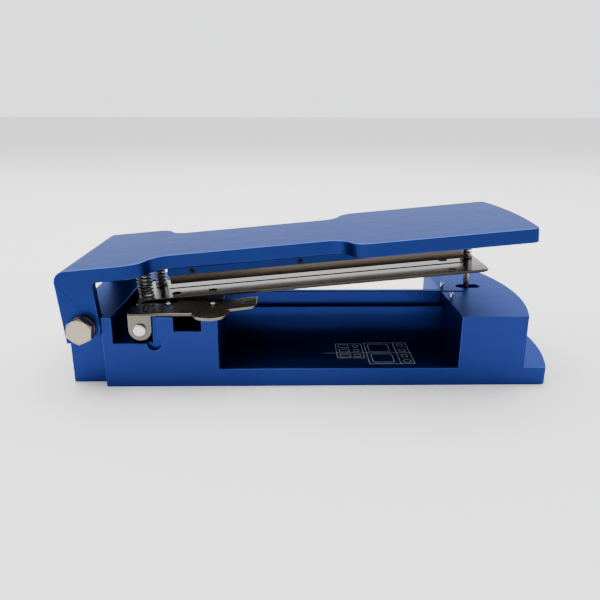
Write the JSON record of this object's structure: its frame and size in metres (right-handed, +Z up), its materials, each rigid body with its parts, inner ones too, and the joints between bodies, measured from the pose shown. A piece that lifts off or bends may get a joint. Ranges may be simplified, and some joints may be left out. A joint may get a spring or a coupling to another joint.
{
  "type": "hand seamer",
  "caption": "Bench hand seamer: blue anodised base with a hinged sprung lever, straight blade, presser plate, hinged register gate and locating pins.",
  "frame": {"origin": "on the flat underside, directly below the lever's pivot axis, in the blade's plane", "axes": "+X along the tool from the pivot to the handle end, +Y away from the gate side, +Z up"},
  "size_m": [0.1977, 0.0806, 0.064],
  "materials": {
    "blue_aluminium": "satin blue anodised",
    "holder_aluminium": "satin grey",
    "polished_steel": "polished",
    "ground_steel": "ground",
    "plain_steel": "satin",
    "black_steel": "black oxide",
    "spring_steel": "drawn wire",
    "bronze": "satin"
  },
  "bodies": {
    "base": {"base_block": "blue_aluminium", "gate_register_pins": "ground_steel", "left_register_pins": "ground_steel", "right_register_pins": "ground_steel", "pivot_screw_front": "plain_steel", "pivot_screw_rear": "plain_steel", "hinge_block": "black_steel", "hinge_block_screw": "black_steel", "gate_pin": "ground_steel", "gate_pin_ring": "spring_steel"},
    "lever": {"lever_arm": "blue_aluminium", "pivot_bushing_front": "bronze", "pivot_bushing_rear": "bronze", "blade_holder": "holder_aluminium", "holder_screws": "black_steel", "blade_set_screws": "black_steel", "blade": "ground_steel", "guide_post_left": "ground_steel", "guide_post_right": "ground_steel", "presser_ring_left": "spring_steel", "presser_ring_right": "spring_steel", "stop_ring": "spring_steel", "presser_spring_left": "spring_steel", "presser_spring_right": "spring_steel", "lift_spring": "spring_steel", "lift_stud": "ground_steel"},
    "presser": {"presser_plate": "polished_steel"},
    "gate_plate": {"gate": "polished_steel"}
  },
  "joints": [
    {"name": "lever_hinge", "type": "hinge", "parent": "base", "child": "lever", "pos_m": [0, 0, 0.025], "axis": [0, 1, 0], "range_deg": [0, 6.8], "stiffness_Nm_per_rad": 4, "springref_deg": -11.46, "deforming": ["lift_spring", "presser_spring_left", "presser_spring_right"]},
    {"name": "presser_hinge", "type": "hinge", "parent": "base", "child": "presser", "pos_m": [0.028, 0, 0.02935], "axis": [0, 1, 0], "range_deg": [0, 5.23]},
    {"name": "gate_hinge", "type": "hinge", "parent": "base", "child": "gate_plate", "pos_m": [0.0216, 0, 0.02375], "axis": [0, -1, 0], "range_deg": [0, 5]}
  ],
  "couplings": [
    {"joint": "presser_hinge", "follows": "lever_hinge", "ratio": 0.7685}
  ]
}
